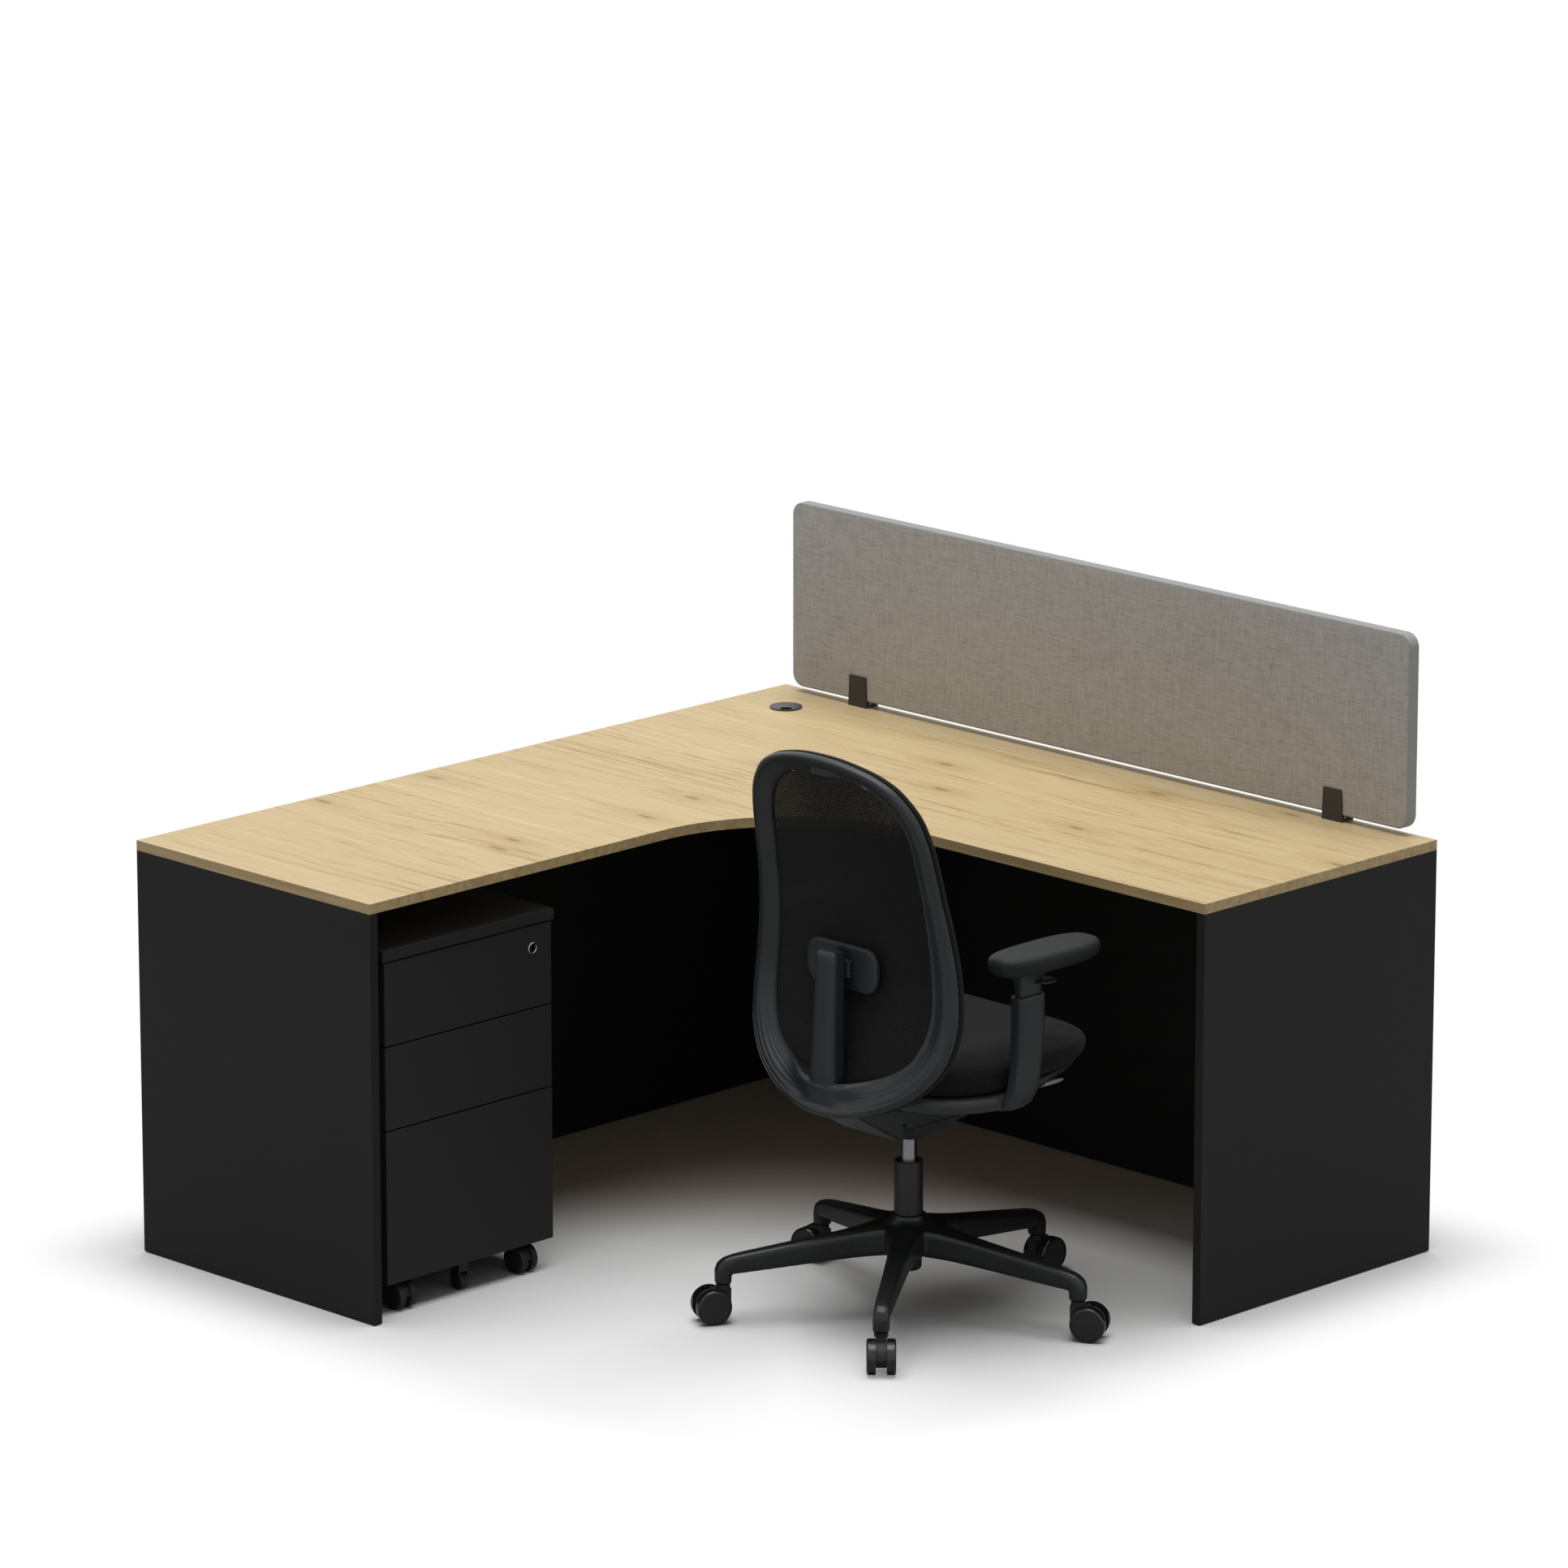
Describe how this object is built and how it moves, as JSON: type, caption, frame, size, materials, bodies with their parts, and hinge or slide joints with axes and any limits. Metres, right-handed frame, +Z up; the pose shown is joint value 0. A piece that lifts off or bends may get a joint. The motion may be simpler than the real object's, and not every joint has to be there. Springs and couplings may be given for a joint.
{
  "type": "office workstation",
  "caption": "L-shaped office desk with a fabric screen, a mobile drawer pedestal under one wing and a mesh-back swivel chair in its corner.",
  "frame": {"origin": "on the floor, under the middle of the desk's square footprint", "axes": "+Z up; +Y towards the rear edge that carries the screen; +X to the right of someone facing the screen"},
  "size_m": [1.6, 1.6, 1.112],
  "materials": {
    "oak_laminate": "satin wood-grain laminate",
    "dark_board": "matte melamine board",
    "drawer_board": "matte melamine board",
    "screen_fabric": "woven upholstery",
    "seat_fabric": "woven upholstery",
    "back_mesh": "open knitted mesh",
    "clip_plastic": "matte",
    "grommet_plastic": "matte",
    "glide_plastic": "matte",
    "zinc_steel": "zinc plated",
    "lock_chrome": "polished",
    "pedestal_board": "matte melamine board",
    "caster_plastic": "gloss",
    "base_plastic": "satin gloss nylon",
    "column_steel": "black powder coat",
    "rod_chrome": "polished",
    "cast_housing": "black powder-coated casting",
    "recline_steel": "black powder coat",
    "chair_plastic": "fine-textured",
    "lever_plastic": "satin",
    "pad_foam": "soft polyurethane skin",
    "wheel_plastic": "matte"
  },
  "bodies": {
    "desk": {"worktop": "oak_laminate", "left_end_panel": "dark_board", "right_end_panel": "dark_board", "rear_modesty_panel": "dark_board", "side_modesty_panel": "dark_board", "panel_brackets": "zinc_steel", "assembly_screws": "zinc_steel", "floor_glides": "glide_plastic", "grommet_sleeve": "grommet_plastic", "privacy_screen": "screen_fabric", "screen_clips": "clip_plastic"},
    "grommet_cap": {"grommet_cap": "grommet_plastic"},
    "pedestal": {"pedestal_top": "pedestal_board", "pedestal_carcass": "pedestal_board", "drawer_runners": "zinc_steel"},
    "drawer_1": {"drawer_1_front": "pedestal_board", "drawer_1_box": "drawer_board", "lock_ring": "lock_chrome"},
    "drawer_2": {"drawer_2_front": "pedestal_board", "drawer_2_box": "drawer_board"},
    "drawer_3": {"drawer_3_front": "pedestal_board", "drawer_3_box": "drawer_board", "anti_tilt_bracket": "glide_plastic"},
    "lock": {"lock_barrel": "lock_chrome"},
    "anti_tilt_wheel": {"anti_tilt_wheel": "wheel_plastic"},
    "chair_base": {"chair_base": "base_plastic", "gas_column": "column_steel"},
    "gas_lift": {"gas_rod": "rod_chrome"},
    "seat": {"tilt_mechanism": "cast_housing", "seat_pan": "chair_plastic", "seat_cushion": "seat_fabric", "left_arm_bracket": "chair_plastic", "right_arm_bracket": "chair_plastic"},
    "back": {"back_frame": "chair_plastic", "back_mesh": "back_mesh", "recline_bar": "recline_steel"},
    "lumbar": {"lumbar_pad": "chair_plastic"},
    "height_lever": {"height_lever": "lever_plastic"},
    "pedestal_caster_1": {"pedestal_caster_1_hood": "caster_plastic"},
    "pedestal_wheels_1": {"pedestal_caster_1_wheels": "caster_plastic"},
    "pedestal_caster_2": {"pedestal_caster_2_hood": "caster_plastic"},
    "pedestal_wheels_2": {"pedestal_caster_2_wheels": "caster_plastic"},
    "pedestal_caster_3": {"pedestal_caster_3_hood": "caster_plastic"},
    "pedestal_wheels_3": {"pedestal_caster_3_wheels": "caster_plastic"},
    "pedestal_caster_4": {"pedestal_caster_4_hood": "caster_plastic"},
    "pedestal_wheels_4": {"pedestal_caster_4_wheels": "caster_plastic"},
    "chair_caster_1": {"chair_caster_1_hood": "caster_plastic"},
    "chair_wheels_1": {"chair_caster_1_wheels": "caster_plastic"},
    "chair_caster_2": {"chair_caster_2_hood": "caster_plastic"},
    "chair_wheels_2": {"chair_caster_2_wheels": "caster_plastic"},
    "chair_caster_3": {"chair_caster_3_hood": "caster_plastic"},
    "chair_wheels_3": {"chair_caster_3_wheels": "caster_plastic"},
    "chair_caster_4": {"chair_caster_4_hood": "caster_plastic"},
    "chair_wheels_4": {"chair_caster_4_wheels": "caster_plastic"},
    "chair_caster_5": {"chair_caster_5_hood": "caster_plastic"},
    "chair_wheels_5": {"chair_caster_5_wheels": "caster_plastic"},
    "left_arm": {"left_arm_slider": "chair_plastic"},
    "left_pad": {"left_arm_pad": "pad_foam"},
    "right_arm": {"right_arm_slider": "chair_plastic"},
    "right_pad": {"right_arm_pad": "pad_foam"}
  },
  "joints": [
    {"name": "grommet_cap_turn", "type": "hinge", "parent": "desk", "child": "grommet_cap", "pos_m": [-0.672, 0.672, 0.752], "axis": [0, 0, 1], "continuous": true},
    {"name": "pedestal_roll", "type": "slide", "parent": "desk", "child": "pedestal", "axis": [0, 1, 0], "range_m": [0, 0.5]},
    {"name": "drawer_1_slide", "type": "slide", "parent": "pedestal", "child": "drawer_1", "axis": [1, 0, 0], "range_m": [0, 0.35]},
    {"name": "drawer_2_slide", "type": "slide", "parent": "pedestal", "child": "drawer_2", "axis": [1, 0, 0], "range_m": [0, 0.35]},
    {"name": "drawer_3_slide", "type": "slide", "parent": "pedestal", "child": "drawer_3", "axis": [1, 0, 0], "range_m": [0, 0.35]},
    {"name": "lock_turn", "type": "hinge", "parent": "drawer_1", "child": "lock", "pos_m": [-0.23, -0.4025, 0.591], "axis": [1, 0, 0], "range_deg": [-90, 0]},
    {"name": "anti_tilt_wheel_spin", "type": "hinge", "parent": "drawer_3", "child": "anti_tilt_wheel", "pos_m": [-0.251, -0.554, 0.016], "axis": [0, 1, 0], "continuous": true},
    {"name": "pedestal_caster_1_swivel", "type": "hinge", "parent": "pedestal", "child": "pedestal_caster_1", "pos_m": [-0.266, -0.698, 0.0597], "axis": [0, 0, 1], "continuous": true},
    {"name": "pedestal_caster_1_spin", "type": "hinge", "parent": "pedestal_caster_1", "child": "pedestal_wheels_1", "pos_m": [-0.248, -0.698, 0.025], "axis": [0, 1, 0], "continuous": true},
    {"name": "pedestal_caster_2_swivel", "type": "hinge", "parent": "pedestal", "child": "pedestal_caster_2", "pos_m": [-0.266, -0.41, 0.0597], "axis": [0, 0, 1], "continuous": true},
    {"name": "pedestal_caster_2_spin", "type": "hinge", "parent": "pedestal_caster_2", "child": "pedestal_wheels_2", "pos_m": [-0.248, -0.41, 0.025], "axis": [0, 1, 0], "continuous": true},
    {"name": "pedestal_caster_3_swivel", "type": "hinge", "parent": "pedestal", "child": "pedestal_caster_3", "pos_m": [-0.694, -0.698, 0.0597], "axis": [0, 0, 1], "continuous": true},
    {"name": "pedestal_caster_3_spin", "type": "hinge", "parent": "pedestal_caster_3", "child": "pedestal_wheels_3", "pos_m": [-0.676, -0.698, 0.025], "axis": [0, 1, 0], "continuous": true},
    {"name": "pedestal_caster_4_swivel", "type": "hinge", "parent": "pedestal", "child": "pedestal_caster_4", "pos_m": [-0.694, -0.41, 0.0597], "axis": [0, 0, 1], "continuous": true},
    {"name": "pedestal_caster_4_spin", "type": "hinge", "parent": "pedestal_caster_4", "child": "pedestal_wheels_4", "pos_m": [-0.676, -0.41, 0.025], "axis": [0, 1, 0], "continuous": true},
    {"name": "chair_roll", "type": "slide", "parent": "desk", "child": "chair_base", "axis": [0, -1, 0], "range_m": [0, 0.45]},
    {"name": "chair_caster_1_swivel", "type": "hinge", "parent": "chair_base", "child": "chair_caster_1", "pos_m": [0.69622, 0.00506, 0.0677], "axis": [0, 0, 1], "continuous": true},
    {"name": "chair_caster_1_spin", "type": "hinge", "parent": "chair_caster_1", "child": "chair_wheels_1", "pos_m": [0.71458, 0.01524, 0.031], "axis": [-0.4848, 0.8746, 0], "continuous": true},
    {"name": "chair_caster_2_swivel", "type": "hinge", "parent": "chair_base", "child": "chair_caster_2", "pos_m": [0.3895, 0.2279, 0.0677], "axis": [0, 0, 1], "continuous": true},
    {"name": "chair_caster_2_spin", "type": "hinge", "parent": "chair_caster_2", "child": "chair_wheels_2", "pos_m": [0.3895, 0.2489, 0.031], "axis": [-1, 0, 0], "continuous": true},
    {"name": "chair_caster_3_swivel", "type": "hinge", "parent": "chair_base", "child": "chair_caster_3", "pos_m": [0.08278, 0.00506, 0.0677], "axis": [0, 0, 1], "continuous": true},
    {"name": "chair_caster_3_spin", "type": "hinge", "parent": "chair_caster_3", "child": "chair_wheels_3", "pos_m": [0.0621, 0.00141, 0.031], "axis": [0.1736, -0.9848, 0], "continuous": true},
    {"name": "chair_caster_4_swivel", "type": "hinge", "parent": "chair_base", "child": "chair_caster_4", "pos_m": [0.19994, -0.35551, 0.0677], "axis": [0, 0, 1], "continuous": true},
    {"name": "chair_caster_4_spin", "type": "hinge", "parent": "chair_caster_4", "child": "chair_wheels_4", "pos_m": [0.19008, -0.37405, 0.031], "axis": [0.8829, -0.4695, 0], "continuous": true},
    {"name": "chair_caster_5_swivel", "type": "hinge", "parent": "chair_base", "child": "chair_caster_5", "pos_m": [0.57906, -0.35551, 0.0677], "axis": [0, 0, 1], "continuous": true},
    {"name": "chair_caster_5_spin", "type": "hinge", "parent": "chair_caster_5", "child": "chair_wheels_5", "pos_m": [0.59391, -0.37036, 0.031], "axis": [0.7071, 0.7071, 0], "continuous": true},
    {"name": "seat_height", "type": "slide", "parent": "chair_base", "child": "gas_lift", "axis": [0, 0, 1], "range_m": [-0.03, 0.07]},
    {"name": "seat_swivel", "type": "hinge", "parent": "gas_lift", "child": "seat", "pos_m": [0.3895, -0.0946, 0.385], "axis": [0, 0, 1], "continuous": true},
    {"name": "back_recline", "type": "hinge", "parent": "seat", "child": "back", "pos_m": [0.3895, -0.1246, 0.385], "axis": [1, 0, 0], "range_deg": [0, 20], "stiffness_Nm_per_rad": 100, "springref_deg": -17.19},
    {"name": "lumbar_slide", "type": "slide", "parent": "back", "child": "lumbar", "axis": [0, 0, 1], "range_m": [-0.015, 0.03]},
    {"name": "height_lever_pull", "type": "hinge", "parent": "seat", "child": "height_lever", "pos_m": [0.4895, 0.0004, 0.421], "axis": [1, 0, 0], "range_deg": [0, 8], "stiffness_Nm_per_rad": 0.5, "springref_deg": -14.32},
    {"name": "left_arm_height", "type": "slide", "parent": "seat", "child": "left_arm", "axis": [0, 0, 1], "range_m": [0, 0.07]},
    {"name": "left_pad_slide", "type": "slide", "parent": "left_arm", "child": "left_pad", "axis": [0, 1, 0], "range_m": [-0.02, 0.03]},
    {"name": "right_arm_height", "type": "slide", "parent": "seat", "child": "right_arm", "axis": [0, 0, 1], "range_m": [0, 0.07]},
    {"name": "right_pad_slide", "type": "slide", "parent": "right_arm", "child": "right_pad", "axis": [0, 1, 0], "range_m": [-0.02, 0.03]}
  ]
}
